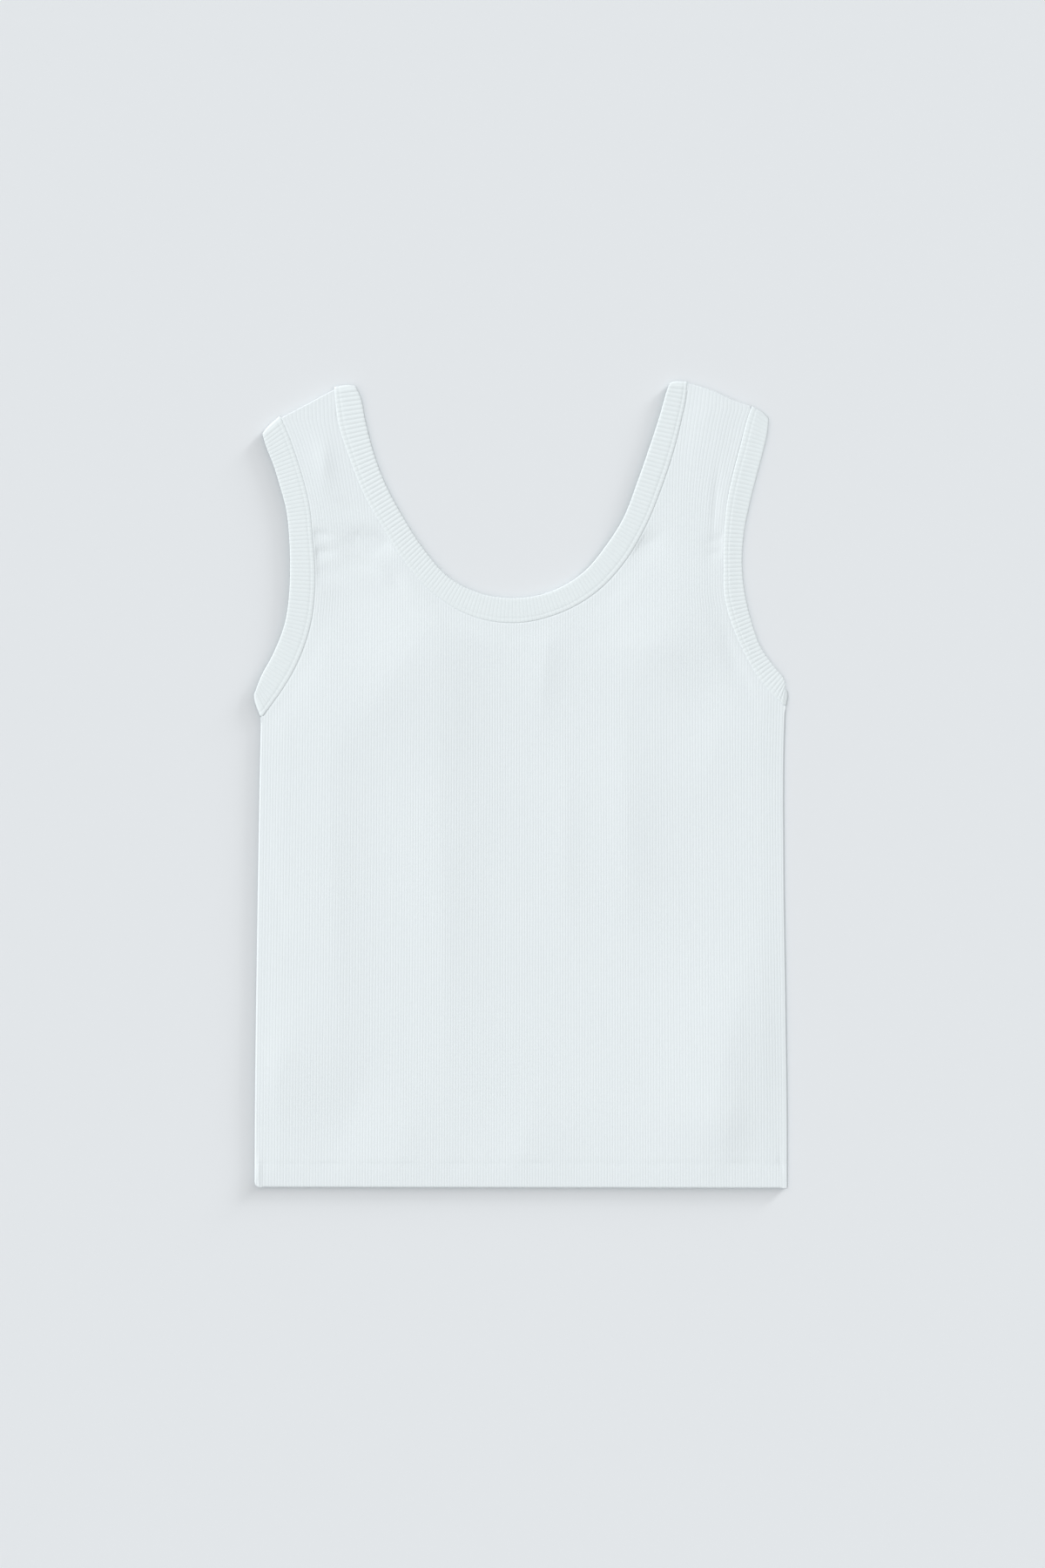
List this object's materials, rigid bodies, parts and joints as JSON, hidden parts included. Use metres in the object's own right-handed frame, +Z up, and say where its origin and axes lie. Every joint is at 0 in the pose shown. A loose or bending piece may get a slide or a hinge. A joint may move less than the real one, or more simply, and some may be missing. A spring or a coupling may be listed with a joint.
{
  "type": "ribbed tank top, laid flat",
  "caption": "Sleeveless white rib-knit tank top laid flat, front up, with a deep scooped neck and wide ribbed bindings at neck and armholes.",
  "frame": {"origin": "centre of the garment's outline on the surface it lies on", "axes": "+Y from hem to shoulders, +X to the right of someone looking down at the front, +Z up from the surface"},
  "size_m": [0.3934, 0.5922, 0.0047],
  "materials": {
    "body_knit": "matt white cotton rib knit, ribs lengthwise",
    "band_knit": "matt white cotton rib knit, ribs across the band"
  },
  "bodies": {
    "root": {"front_panel": "body_knit", "back_panel": "body_knit", "neck_binding": "band_knit", "armhole_binding_left": "band_knit", "armhole_binding_right": "band_knit"}
  },
  "joints": []
}
